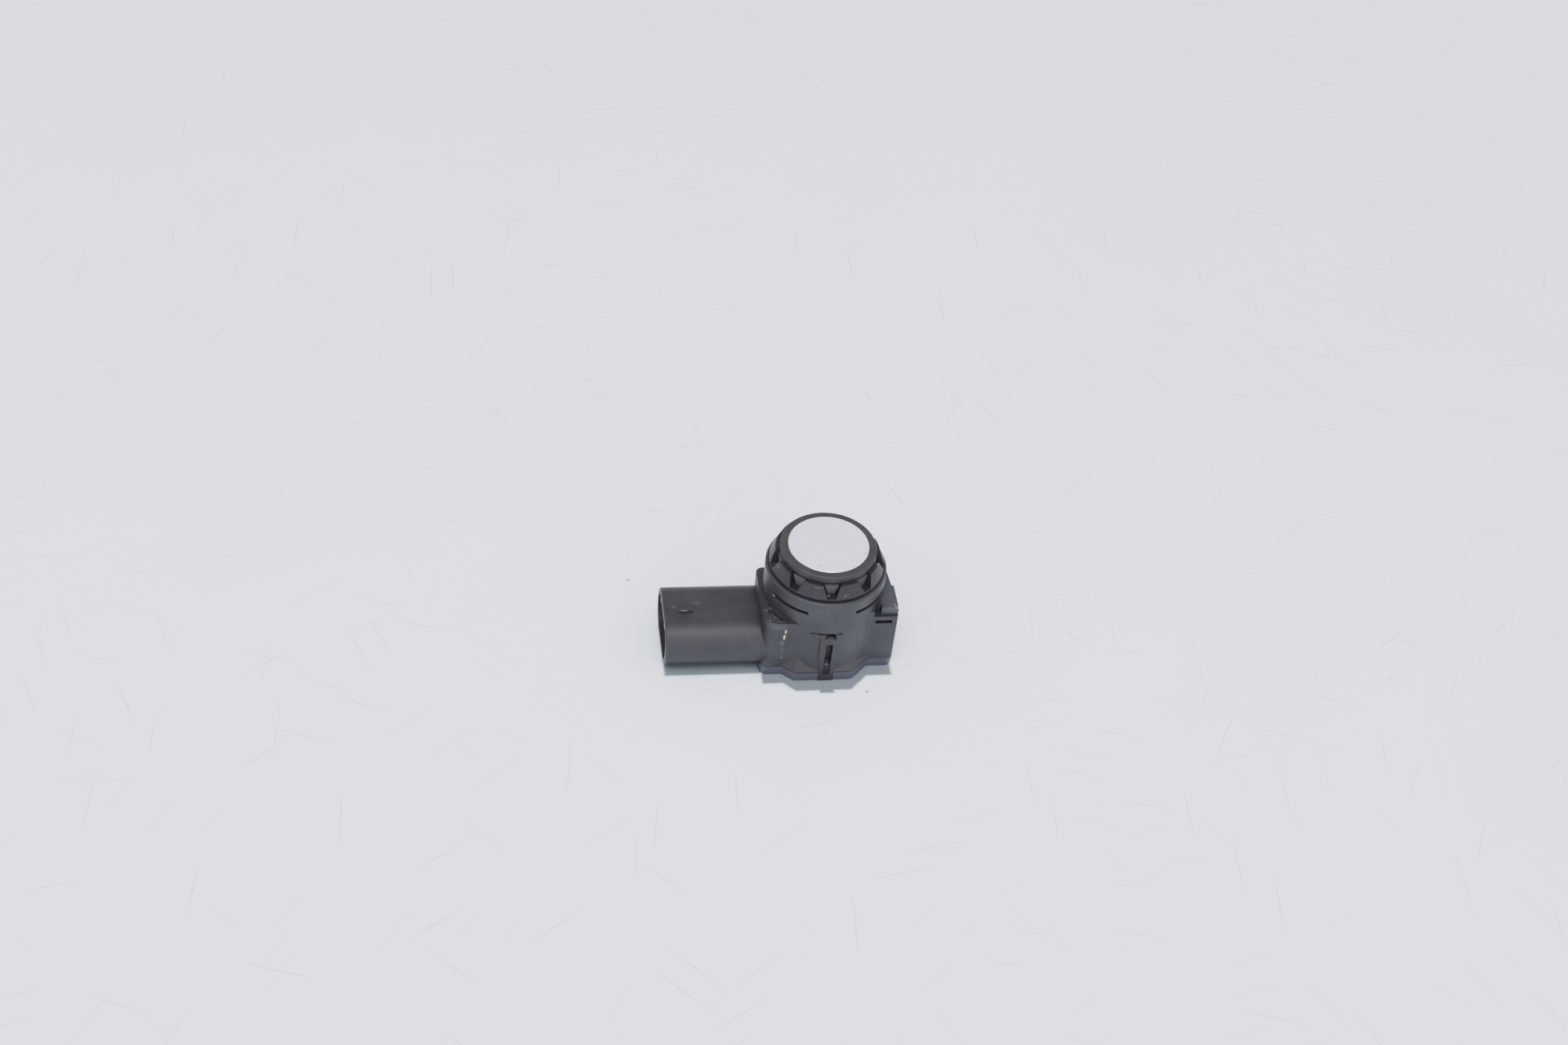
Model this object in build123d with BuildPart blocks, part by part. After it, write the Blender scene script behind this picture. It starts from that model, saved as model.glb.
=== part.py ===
from build123d import *
import os

# Driving sizes, millimetres

# Rear cover and body outline, seen from above
cover_thickness = 2.0
cover_edge_chamfer = 0.3
body_beyond_barrel = 0.05
front_flat_left = -5.9
front_flat_right = 5.2
left_shoulder_run = 2.2
left_block_inside_barrel = 1.85
left_face_beyond_barrel = 0.8
ear_inside_barrel = 3.35
ear_beyond_barrel = 2.1
outline_corner_radius = 1.5
outline_blend_radius = 0.9
lip_height = 1.4
lip_wall = 1.0
lip_gap = 0.08

# Barrel
barrel_radius = 11.5
barrel_top_z = 19.95
foot_height = 0.4
foot_slope_height = 2.4
foot_slope_angle = 30.0
band_wall = 1.9
mouth_bore_depth = 4.45
shelf_thickness = 1.2
barrel_wall = 2.2
board_ledge = 0.5
band_edge = 0.3

# Arc slots under the band
arc_slot_height = 0.75
arc_slot_below_top = 3.35
arc_slot_depth = 1.0
arc_slot_from_deg = 23.2
arc_slot_to_deg = 64.8

# Snap tongue with its window and eye, one on each broad side
tongue_x = 0.15
tongue_proud = 0.06
tongue_depth = 1.1
tongue_half_width = 1.4
tongue_upper_half_width = 1.8
tongue_head_half_width = 2.3
tongue_waist_z = 5.4
tongue_neck_z = 11.0
tongue_head_z = 12.15
window_half_width = 0.65
window_bottom_z = 1.5
window_top_z = 9.6
window_depth = 1.5
eye_half_width = 1.1
eye_bottom_z = 10.6
eye_height = 1.8
eye_sill_height = 0.9
side_line_reach = 4.0
side_line_height = 0.2
side_line_depth = 0.35
catch_height = 2.8
catch_inset = 0.21
catch_root = 0.3
notch_gap = 0.06

# Shoulder block beside the plug tube
shoulder_top_z = 13.5
shoulder_rear_share = 0.504
shoulder_corner_radius = 3.0
shoulder_rear_radius = 1.3
shoulder_blend_radius = 5.0
shoulder_rear_blend_radius = 0.8
shoulder_wall = 1.0
pocket_depth = 1.3
pocket_front_wall = 0.9
pocket_length = 5.4
pocket_step_height = 0.8
pocket_step_depth = 1.9
pocket_pip_radius = 0.45
pocket_pip_height = 0.9
pocket_pip_inset = 1.2

# Ear with its latch ramp
ear_top_z = 14.7
ear_rear_y = 3.9
ear_inset = 0.15
ear_step_y = -1.2
ear_step = 0.45
ear_corner_radius = 0.45
ear_blend_radius = 1.5
ear_rear_blend_radius = 0.4
ear_bar_z = 12.3
ear_bar_height = 1.0
ear_slot_height = 0.8
ear_slot_depth = 1.5
ear_slot_length = 3.2
ear_slot_from_face = 1.25
ramp_top_z = 15.4
ramp_thickness = 1.2
ramp_length = 3.4
ramp_setback = 0.4

# Plug tube and socket
tube_y = -0.8
tube_above_table = 0.1
tube_half_width = 8.2
tube_half_height = 4.9
tube_side_flat = 0.3
tube_wall = 1.1
tube_mouth_x = -30.4
tube_mouth_chamfer = 0.25
socket_depth = 15.7
key_rib_width = 1.2
key_rib_height = 0.8
key_rib_spacing = 7.0
latch_nub_length = 3.1
latch_nub_width = 1.4
latch_nub_height = 0.4
latch_nub_from_mouth = 2.4
latch_nub_y = -0.8

# Terminals
terminal_count = 3
terminal_pitch = 2.5
terminal_thickness = 0.64
terminal_tip_from_mouth = 6.7
terminal_bend_from_wall = 2.1
terminal_bend_radius = 0.9
terminal_above_board = 0.8

# Circuit board and what it carries
board_thickness = 0.8
board_z = 7.4
board_gap = 0.1
joint_gap = 0.02
drum_angle = 53.5
drum_edge_gap = 0.5
drum_share = 0.28
drum_waist_radius = 1.3
drum_height = 4.2
drum_flange = 0.7
filter_x = 1.5
filter_from_wall = 4.1
filter_length = 3.2
filter_width = 2.5
filter_height = 2.2
resonator_x = -3.2
resonator_from_wall = 3.7
resonator_length = 3.2
resonator_width = 1.5
resonator_height = 1.0
chip_share = 0.54
chip_height = 0.9
chip_edge = 0.15
small_part_from_wall = 3.7
small_part_count = 6
small_part_step = 30.0
capacitor_length = 1.6
capacitor_width = 0.8
capacitor_height = 0.8
resistor_length = 1.0
resistor_width = 0.5
resistor_height = 0.35

# Transducer
face_z = 24.7
ring_wall = 1.95
membrane_thickness = 0.6
cup_wall = 0.9
cup_edge = 0.12
piezo_share = 0.5
piezo_thickness = 0.5
plug_height = 3.4
pad_thickness = 2.6
lead_radius = 0.22
lead_hole_gap = 0.1
lead_step_height = 2.6
lead_sides = 8
signal_lead_share = 0.3
ground_lead_share = 0.68
signal_pad_share = 0.43
ground_pad_share = 0.39

# Decoupling ring and its castellated collar
rim_wall = 1.45
neck_inset = 0.5
head_gap = 0.1
rim_below_face = 0.05
rim_edge = 0.25
flange_inside_barrel = 1.4
flange_height = 0.4
ring_floor = 1.1
ring_floor_reach = 1.45
ring_fit = 0.05
collar_inside_barrel = 0.65
collar_land_height = 0.5
collar_height = 2.85
collar_lean = 0.93
petal_count = 9
first_notch_angle = -93.0
petal_notch_top = 3.3
petal_notch_bottom = 1.6
petal_notch_lip = 0.45
key_clearance = 0.15
key_reach = 0.1
key_below_collar = 0.35


# Places worked out from the driving sizes
body_half_depth = barrel_radius + body_beyond_barrel
left_block_half_depth = barrel_radius - left_block_inside_barrel
left_face_x = -(barrel_radius + left_face_beyond_barrel)
ear_half_depth = barrel_radius - ear_inside_barrel
ear_face_x = barrel_radius + ear_beyond_barrel
ear_side_x = ear_face_x - ear_inset
mouth_bore_radius = barrel_radius - band_wall
cavity_radius = barrel_radius - barrel_wall
cup_radius = mouth_bore_radius - ring_wall
rim_radius = cup_radius + rim_wall
neck_radius = rim_radius - neck_inset
ring_hole_radius = cup_radius - ring_floor_reach
flange_radius = barrel_radius - flange_inside_barrel
collar_radius = barrel_radius - collar_inside_barrel
collar_top_radius = collar_radius - collar_lean
key_radius = rim_radius + key_reach
tube_z = tube_half_height + tube_above_table
tube_corner_radius = tube_half_height - tube_side_flat
terminal_bend_x = terminal_bend_from_wall - cavity_radius
filter_y = filter_from_wall - cavity_radius
resonator_y = cavity_radius - resonator_from_wall
drum_half_width = drum_share * cavity_radius
drum_centre_radius = cavity_radius - board_ledge - drum_edge_gap - drum_half_width
chip_side = chip_share * cavity_radius
signal_pad_x = signal_pad_share * cavity_radius
ground_pad_x = -ground_pad_share * cavity_radius
small_part_ring = cavity_radius - small_part_from_wall
shoulder_rear_y = shoulder_rear_share * barrel_radius
cover_top_z = cover_thickness
shelf_top_z = barrel_top_z - mouth_bore_depth
shelf_bottom_z = shelf_top_z - shelf_thickness
ledge_z = board_z + board_thickness
socket_floor_x = tube_mouth_x + socket_depth
right_shoulder_run = body_half_depth - ear_half_depth
arc_slot_z = barrel_top_z - arc_slot_below_top
tongue_face_y = body_half_depth + tongue_proud
tongue_back_y = tongue_face_y - tongue_depth
side_line_back_y = barrel_radius - 2 * side_line_depth
catch_face_y = tongue_face_y - catch_inset
ring_floor_top_z = shelf_top_z + ring_floor
rim_z = face_z - rim_below_face
flange_top_z = barrel_top_z + flange_height
cup_bottom_z = ring_floor_top_z
cup_bore_radius = cup_radius - cup_wall
piezo_radius = piezo_share * cup_bore_radius
signal_lead_x = signal_lead_share * cup_bore_radius
ground_lead_x = -ground_lead_share * cup_bore_radius
membrane_back_z = face_z - membrane_thickness
plug_top_z = cup_bottom_z + plug_height
bar_top_z = ear_bar_z + ear_bar_height
tube_top_z = tube_z + tube_half_height
latch_nub_x = tube_mouth_x + latch_nub_from_mouth
terminal_tip_x = tube_mouth_x + terminal_tip_from_mouth
pocket_x = left_face_x + shoulder_wall
pocket_y = pocket_front_wall - left_block_half_depth
pocket_rear_y = pocket_y + pocket_length
pocket_floor_z = shoulder_top_z - pocket_depth
collar_top_z = flange_top_z + collar_height
head_bottom_z = collar_top_z + head_gap
petal_notch_floor_z = flange_top_z + petal_notch_lip
key_top_z = collar_top_z - key_below_collar
terminal_top_z = ledge_z + terminal_above_board
terminal_ys = [tube_y + terminal_pitch * (n - (terminal_count - 1) / 2) for n in range(terminal_count)]
petal_angles = [first_notch_angle + n * 360 / petal_count for n in range(petal_count)]


# Outline that the rear cover and the foot of the housing share
with BuildSketch() as body_outline:
    with BuildLine():
        Polyline(
            (left_face_x, 0),
            (left_face_x, -left_block_half_depth),
            (front_flat_left - left_shoulder_run, -left_block_half_depth),
            (front_flat_left, -body_half_depth),
            (front_flat_right, -body_half_depth),
            (front_flat_right + right_shoulder_run, -ear_half_depth),
            (ear_face_x, -ear_half_depth),
            (ear_face_x, 0),
        )
        mirror(about=Plane.XZ)
    make_face()
    outer_corners = vertices().group_by(Axis.X)[0] + vertices().group_by(Axis.X)[-1]
    inner_corners = ShapeList([v for v in vertices() if v not in outer_corners])
    fillet(inner_corners, outline_blend_radius)
    outer_corners = vertices().group_by(Axis.X)[0] + vertices().group_by(Axis.X)[-1]
    fillet([v for v in outer_corners if abs(v.Y) > outline_corner_radius], outline_corner_radius)


def across(y):
    """A plane across Y whose sketch axes are X and Z. A negative extrusion runs towards +Y."""
    return Plane(origin=(0, y, 0), x_dir=(1, 0, 0), z_dir=(0, -1, 0))


def radial_plane(angle, radius):
    """A plane square to the radius at an angle, its sketch axes the tangent and Z."""
    turned = Plane.XY.rotated((0, 0, angle))
    return Plane(origin=turned.x_dir * radius, x_dir=turned.y_dir, z_dir=turned.x_dir)


def upright_plane(angle):
    """The upright plane through the barrel's axis at an angle, its sketch axes the radius and Z."""
    turned = Plane.XY.rotated((0, 0, angle))
    return Plane(origin=(0, 0, 0), x_dir=turned.x_dir, z_dir=-turned.y_dir)


def barrel_corners(corners):
    """Those corners of a sketch where a block's outline meets the barrel's circle."""
    return ShapeList([v for v in corners if v.Y and abs((v.X**2 + v.Y**2) ** 0.5 - barrel_radius) < 0.01])


def window_outline(bottom, top, half_width):
    """An upright slot with rounded corners on the tongue's centre line, in the open sketch."""
    with Locations((tongue_x, (bottom + top) / 2)):
        RectangleRounded(2 * half_width, top - bottom, half_width / 2)


# Housing, one moulding: foot and barrel first
with BuildPart() as housing:
    with BuildSketch(Plane.XY.offset(cover_top_z)):
        add(body_outline.sketch)
    extrude(amount=foot_height)
    with BuildSketch(Plane.XY.offset(cover_top_z + foot_height)):
        add(body_outline.sketch)
    extrude(amount=foot_slope_height, taper=foot_slope_angle)

    # Shoulder block on the plug side, rounded at its corners and blended into the barrel
    with BuildSketch(Plane.XY.offset(cover_top_z)):
        with Locations((left_face_x, -left_block_half_depth)):
            Rectangle(-left_face_x, left_block_half_depth + shoulder_rear_y, align=(Align.MIN, Align.MIN))
        fillet(vertices().group_by(Axis.X)[0].sort_by(Axis.Y)[0], shoulder_corner_radius)
        fillet(vertices().group_by(Axis.X)[0].sort_by(Axis.Y)[-1], shoulder_rear_radius)
        Circle(barrel_radius)
        fillet(barrel_corners(vertices()).sort_by(Axis.Y)[0], shoulder_blend_radius)
        fillet(barrel_corners(vertices()).sort_by(Axis.Y)[-1], shoulder_rear_blend_radius)
    extrude(amount=shoulder_top_z - cover_top_z)

    # Pocket behind the shoulder's outer wall, with a step and a pip in it
    with BuildSketch(Plane.XY.offset(pocket_floor_z)):
        with Locations((pocket_x, pocket_y)):
            Rectangle(-pocket_x, pocket_rear_y - pocket_y, align=(Align.MIN, Align.MIN))
        fillet(vertices().group_by(Axis.X)[0], shoulder_corner_radius - shoulder_wall)
    extrude(amount=shoulder_top_z - pocket_floor_z, mode=Mode.SUBTRACT)
    with BuildSketch(Plane.XY.offset(pocket_floor_z)):
        with Locations((left_face_x + shoulder_wall / 2, pocket_rear_y)):
            Rectangle(-left_face_x, pocket_step_depth, align=(Align.MIN, Align.MAX))
    extrude(amount=pocket_step_height)
    with BuildSketch(Plane.XY.offset(pocket_floor_z)):
        with Locations((pocket_x + pocket_pip_inset, pocket_y + pocket_pip_inset)):
            Circle(pocket_pip_radius)
    extrude(amount=pocket_pip_height)

    # Ear on the other side, stepped back towards its rear
    with BuildSketch(Plane.XY.offset(cover_top_z)):
        with BuildLine():
            Polyline(
                (0, -ear_half_depth),
                (ear_side_x, -ear_half_depth),
                (ear_side_x, ear_step_y),
                (ear_side_x - ear_step, ear_step_y),
                (ear_side_x - 2 * ear_step, ear_rear_y),
                (0, ear_rear_y),
                close=True,
            )
        make_face()
        fillet(vertices().group_by(Axis.X)[-1].sort_by(Axis.Y)[0], ear_corner_radius)
        Circle(barrel_radius)
        fillet(barrel_corners(vertices()).sort_by(Axis.Y)[0], ear_blend_radius)
        fillet(barrel_corners(vertices()).sort_by(Axis.Y)[-1], ear_rear_blend_radius)
    extrude(amount=ear_top_z - cover_top_z)

    # The ear's latch: a long slot, a bar over it and a ramp set back above the bar
    with BuildSketch(across(-ear_half_depth)):
        with Locations((ear_side_x + ear_inset - ear_slot_from_face, ear_bar_z)):
            Rectangle(ear_slot_length, ear_slot_height, align=(Align.MAX, Align.MAX))
    extrude(amount=-ear_slot_depth, mode=Mode.SUBTRACT)
    with BuildSketch(Plane.XY.offset(bar_top_z)):
        with Locations((0, -ear_half_depth)):
            Rectangle(ear_side_x, ramp_setback + ramp_thickness, align=(Align.MIN, Align.MIN))
    extrude(amount=ramp_top_z - bar_top_z, mode=Mode.SUBTRACT)
    with BuildSketch(across(ramp_setback - ear_half_depth)):
        with BuildLine():
            Polyline(
                (ear_side_x - ramp_length, bar_top_z),
                (ear_side_x - ear_step, bar_top_z),
                (ear_side_x, (bar_top_z + ramp_top_z) / 2),
                (ear_side_x - 2 * ear_step, ramp_top_z),
                (ear_side_x - ramp_length, ramp_top_z),
                close=True,
            )
        make_face()
    extrude(amount=-ramp_thickness)

    # Barrel
    with BuildSketch(Plane.XY.offset(cover_top_z)):
        Circle(barrel_radius)
    extrude(amount=barrel_top_z - cover_top_z)
    chamfer(housing.faces().sort_by(Axis.Z)[-1].edges(), band_edge)

    # Plug tube, a rounded oval in section, with a latch nub on its upper side
    with BuildSketch(Plane.YZ.offset(tube_mouth_x)):
        with Locations((tube_y, tube_z)):
            RectangleRounded(2 * tube_half_width, 2 * tube_half_height, tube_corner_radius)
    extrude(amount=left_face_x + shoulder_corner_radius - tube_mouth_x)
    chamfer(housing.faces().sort_by(Axis.X)[0].edges(), tube_mouth_chamfer)
    with BuildSketch():
        with Locations((left_face_x - notch_gap, tube_y)):
            Rectangle(
                shoulder_corner_radius + notch_gap, 2 * tube_half_width, align=(Align.MIN, Align.CENTER)
            )
    extrude(amount=cover_top_z, mode=Mode.SUBTRACT)
    with BuildSketch(across(tube_y + latch_nub_y - latch_nub_width / 2)):
        with BuildLine():
            Polyline(
                (latch_nub_x, tube_top_z - latch_nub_height),
                (latch_nub_x, tube_top_z),
                (latch_nub_x + latch_nub_length / 3, tube_top_z + latch_nub_height),
                (latch_nub_x + latch_nub_length, tube_top_z + latch_nub_height),
                (latch_nub_x + latch_nub_length, tube_top_z - latch_nub_height),
                close=True,
            )
        make_face()
    extrude(amount=-latch_nub_width)

    # Snap tongues on both broad sides, with a thin line cut beside each head
    for tongue_y, line_y in ((-tongue_face_y, -barrel_radius), (tongue_back_y, side_line_back_y)):
        with BuildSketch(across(line_y)):
            with Locations((tongue_x, tongue_head_z)):
                Rectangle(side_line_reach, side_line_height, align=(Align.MAX, Align.MIN))
        extrude(amount=-2 * side_line_depth, mode=Mode.SUBTRACT)
        with BuildSketch(across(tongue_y)):
            with BuildLine():
                Polyline(
                    (tongue_x - tongue_half_width, 0),
                    (tongue_x - tongue_half_width, tongue_waist_z),
                    (tongue_x - tongue_upper_half_width, tongue_waist_z),
                    (tongue_x - tongue_upper_half_width, tongue_neck_z),
                    (tongue_x - tongue_head_half_width, tongue_head_z),
                    (tongue_x + tongue_head_half_width, tongue_head_z),
                    (tongue_x + tongue_upper_half_width, tongue_neck_z),
                    (tongue_x + tongue_upper_half_width, tongue_waist_z),
                    (tongue_x + tongue_half_width, tongue_waist_z),
                    (tongue_x + tongue_half_width, 0),
                    close=True,
                )
            make_face()
        extrude(amount=-tongue_depth)

    # Windows and eyes through the tongues
    for window_y in (-tongue_face_y, tongue_face_y - window_depth):
        with BuildSketch(across(window_y)):
            window_outline(window_bottom_z, window_top_z, window_half_width)
            with Locations((tongue_x, eye_bottom_z)):
                Rectangle(2 * eye_half_width, eye_height, align=(Align.CENTER, Align.MIN))
            fillet(vertices().group_by(Axis.Y)[-1], eye_half_width * 0.8)
        extrude(amount=-window_depth, mode=Mode.SUBTRACT)

    # Sloped sill in the lower part of each eye
    with BuildSketch(Plane.YZ.offset(tongue_x - eye_half_width)):
        with BuildLine():
            Polyline(
                (-tongue_face_y, eye_bottom_z),
                (window_depth - tongue_face_y, eye_bottom_z),
                (window_depth - tongue_face_y, eye_bottom_z + eye_sill_height),
                close=True,
            )
        make_face()
        mirror(about=Plane.YZ)
    extrude(amount=2 * eye_half_width)

    # Arc slots that free the band from the barrel below it
    for middle in (-90, 90):
        for start in (arc_slot_from_deg, -arc_slot_to_deg):
            with BuildSketch(upright_plane(middle + start)):
                with Locations((barrel_radius, arc_slot_z)):
                    Rectangle(2 * arc_slot_depth, arc_slot_height, align=(Align.CENTER, Align.MIN))
            slot_arc = arc_slot_to_deg - arc_slot_from_deg
            revolve(axis=Axis.Z, revolution_arc=slot_arc, mode=Mode.SUBTRACT)

    # Inside: mouth bore, shelf hole, upper cavity and board cavity
    with BuildSketch(Plane.XY.offset(shelf_top_z)):
        Circle(mouth_bore_radius)
    extrude(amount=mouth_bore_depth, mode=Mode.SUBTRACT)
    with BuildSketch(Plane.XY.offset(shelf_bottom_z)):
        Circle(ring_hole_radius)
    extrude(amount=shelf_thickness, mode=Mode.SUBTRACT)
    with BuildSketch(Plane.XY.offset(ledge_z)):
        Circle(cavity_radius - board_ledge)
    extrude(amount=shelf_bottom_z - ledge_z, mode=Mode.SUBTRACT)
    with BuildSketch(Plane.XY.offset(cover_top_z)):
        Circle(cavity_radius)
    extrude(amount=ledge_z - cover_top_z, mode=Mode.SUBTRACT)

    # Socket in the plug tube, with two keying ribs along its roof
    with BuildSketch(Plane.YZ.offset(tube_mouth_x)):
        with Locations((tube_y, tube_z)):
            RectangleRounded(
                2 * (tube_half_width - tube_wall),
                2 * (tube_half_height - tube_wall),
                tube_corner_radius - tube_wall,
            )
        with Locations((tube_y, tube_top_z - tube_wall)):
            with GridLocations(key_rib_spacing, 0, 2, 1):
                Rectangle(key_rib_width, 2 * key_rib_height, mode=Mode.SUBTRACT)
    extrude(amount=socket_depth, mode=Mode.SUBTRACT)

    # Channels for the terminals, from the socket's floor to the cavity
    with BuildSketch(Plane.YZ.offset(socket_floor_x)):
        for y in terminal_ys:
            with Locations((y, tube_z)):
                Rectangle(terminal_thickness + 2 * joint_gap, terminal_thickness + 2 * joint_gap)
    extrude(amount=-socket_floor_x - cavity_radius / 2, mode=Mode.SUBTRACT)
housing.part.label = "housing"


# Rear cover, snapped under the housing, with a lip and two catches
with BuildPart() as rear_cover:
    with BuildSketch():
        add(body_outline.sketch)
    extrude(amount=cover_thickness)
    chamfer(rear_cover.faces().sort_by(Axis.Z)[0].edges(), cover_edge_chamfer)
    with BuildSketch(Plane.XY.offset(cover_top_z)):
        Circle(cavity_radius - lip_gap)
        Circle(cavity_radius - lip_gap - lip_wall, mode=Mode.SUBTRACT)
    extrude(amount=lip_height)
    for notch_y in (-tongue_face_y, tongue_back_y - notch_gap):
        with BuildSketch(across(notch_y)):
            with Locations((tongue_x, 0)):
                Rectangle(
                    2 * (tongue_half_width + notch_gap), cover_thickness, align=(Align.CENTER, Align.MIN)
                )
        extrude(amount=-(tongue_depth + notch_gap), mode=Mode.SUBTRACT)
    for catch_y in (-catch_face_y, tongue_back_y - catch_root):
        with BuildSketch(across(catch_y)):
            catch_bottom_z = window_bottom_z + notch_gap
            window_outline(catch_bottom_z, catch_bottom_z + catch_height, window_half_width - notch_gap)
        extrude(amount=-(catch_face_y - tongue_back_y + catch_root))
rear_cover.part.label = "rear_cover"


# Circuit board, a disc that seats under the ledge, drilled for terminals and leads
with BuildPart() as circuit_board:
    with BuildSketch(Plane.XY.offset(board_z)):
        Circle(cavity_radius - board_gap)
        for y in terminal_ys:
            with Locations((terminal_bend_x, y)):
                Rectangle(
                    terminal_thickness + 2 * joint_gap,
                    terminal_thickness + 2 * joint_gap,
                    mode=Mode.SUBTRACT,
                )
        with Locations((signal_pad_x, 0), (ground_pad_x, 0)):
            RegularPolygon(lead_radius + joint_gap, lead_sides, mode=Mode.SUBTRACT)
    extrude(amount=board_thickness)
circuit_board.part.label = "circuit_board"


def terminal(y):
    """A square pin from the socket through the wall, bent up through the board."""
    with BuildPart() as pin:
        with BuildLine():
            FilletPolyline(
                (terminal_tip_x, y, tube_z),
                (terminal_bend_x, y, tube_z),
                (terminal_bend_x, y, terminal_top_z),
                radius=terminal_bend_radius,
            )
        with BuildSketch(Plane.YZ.offset(terminal_tip_x)):
            with Locations((y, tube_z)):
                Rectangle(terminal_thickness, terminal_thickness)
        sweep()
        chamfer(pin.faces().sort_by(Axis.X)[0].edges(), terminal_thickness / 4)
    return pin.part


def lead(x_top, z_top, x_bottom):
    """A thin round wire that steps sideways between the transducer and its hole in the board."""
    with BuildPart() as wire:
        with BuildLine():
            FilletPolyline(
                (x_top, 0, z_top),
                (x_top, 0, shelf_bottom_z),
                (x_bottom, 0, ledge_z + lead_step_height),
                (x_bottom, 0, board_z),
                radius=4 * lead_radius,
            )
        with BuildSketch(Plane.XY.offset(z_top)):
            with Locations((x_top, 0)):
                RegularPolygon(lead_radius, lead_sides)
        sweep()
    return wire.part


terminals = [terminal(y) for y in terminal_ys]
signal_lead = lead(signal_lead_x, membrane_back_z - piezo_thickness, signal_pad_x)
ground_lead = lead(ground_lead_x, membrane_back_z, ground_pad_x)


# Electronics on the board's upper face: a transformer with square flanges and its winding
with BuildPart() as transformer_core:
    with PolarLocations(drum_centre_radius, 1, drum_angle), Locations((0, 0, ledge_z)):
        Box(
            2 * drum_half_width,
            2 * drum_half_width,
            drum_flange,
            align=(Align.CENTER, Align.CENTER, Align.MIN),
        )
        Cylinder(drum_waist_radius, drum_height, align=(Align.CENTER, Align.CENTER, Align.MIN))
    with PolarLocations(drum_centre_radius, 1, drum_angle), Locations((0, 0, ledge_z + drum_height)):
        Box(
            2 * drum_half_width,
            2 * drum_half_width,
            drum_flange,
            align=(Align.CENTER, Align.CENTER, Align.MAX),
        )
transformer_core.part.label = "transformer_core"

with BuildPart() as transformer_winding:
    with BuildSketch(Plane.XY.offset(ledge_z + drum_flange)):
        with PolarLocations(drum_centre_radius, 1, drum_angle):
            Circle(drum_half_width - drum_flange / 2)
            Circle(drum_waist_radius, mode=Mode.SUBTRACT)
    extrude(amount=drum_height - 2 * drum_flange)
transformer_winding.part.label = "transformer_winding"

with BuildPart() as filter_capacitor:
    with Locations((filter_x, filter_y, ledge_z)):
        Box(filter_length, filter_width, filter_height, align=(Align.CENTER, Align.CENTER, Align.MIN))
    chamfer(filter_capacitor.faces().sort_by(Axis.Z)[-1].edges(), chip_edge)
filter_capacitor.part.label = "filter_capacitor"

with BuildPart() as resonator:
    with Locations((resonator_x, resonator_y, ledge_z)):
        Box(
            resonator_length,
            resonator_width,
            resonator_height,
            align=(Align.CENTER, Align.CENTER, Align.MIN),
        )
    chamfer(resonator.edges().filter_by(Axis.Z), resonator_width / 4)
resonator.part.label = "resonator"

# Electronics on its lower face
with BuildPart() as driver_chip:
    with Locations((0, 0, board_z)):
        Box(chip_side, chip_side, chip_height, align=(Align.CENTER, Align.CENTER, Align.MAX))
    chamfer(driver_chip.faces().sort_by(Axis.Z)[0].edges(), chip_edge)
driver_chip.part.label = "driver_chip"

with BuildPart() as ceramic_capacitors:
    with Locations(Plane.XY.offset(board_z)):
        with PolarLocations(small_part_ring, small_part_count, small_part_step):
            Box(
                capacitor_length,
                capacitor_width,
                capacitor_height,
                align=(Align.CENTER, Align.CENTER, Align.MAX),
            )
ceramic_capacitors.part.label = "ceramic_capacitors"

with BuildPart() as resistors:
    with Locations(Plane.XY.offset(board_z)):
        with PolarLocations(small_part_ring, small_part_count, 2 * small_part_step):
            Box(
                resistor_length,
                resistor_width,
                resistor_height,
                align=(Align.CENTER, Align.CENTER, Align.MAX),
            )
resistors.part.label = "resistors"


# Transducer: an aluminium pot with its membrane outwards
with BuildPart() as membrane_cup:
    with BuildSketch(Plane.XY.offset(cup_bottom_z)):
        Circle(cup_radius)
    extrude(amount=face_z - cup_bottom_z)
    chamfer(membrane_cup.faces().sort_by(Axis.Z)[-1].edges(), cup_edge)
    with BuildSketch(Plane.XY.offset(cup_bottom_z)):
        Circle(cup_bore_radius)
    extrude(amount=membrane_back_z - cup_bottom_z, mode=Mode.SUBTRACT)
membrane_cup.part.label = "membrane_cup"

with BuildPart() as piezo_disc:
    with BuildSketch(Plane.XY.offset(membrane_back_z)):
        Circle(piezo_radius)
    extrude(amount=-piezo_thickness)
piezo_disc.part.label = "piezo_disc"

# Back plug and damping pad in the pot, pierced for the two leads
with BuildPart() as cup_plug:
    with BuildSketch(Plane.XY.offset(cup_bottom_z)):
        Circle(cup_bore_radius - ring_fit)
        with Locations((signal_lead_x, 0), (ground_lead_x, 0)):
            RegularPolygon(lead_radius + lead_hole_gap, lead_sides, mode=Mode.SUBTRACT)
    extrude(amount=plug_height)
cup_plug.part.label = "cup_plug"

with BuildPart() as damping_pad:
    with BuildSketch(Plane.XY.offset(plug_top_z)):
        Circle(cup_bore_radius - ring_fit)
        with Locations((signal_lead_x, 0), (ground_lead_x, 0)):
            RegularPolygon(lead_radius + lead_hole_gap, lead_sides, mode=Mode.SUBTRACT)
    extrude(amount=pad_thickness)
damping_pad.part.label = "damping_pad"


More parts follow.
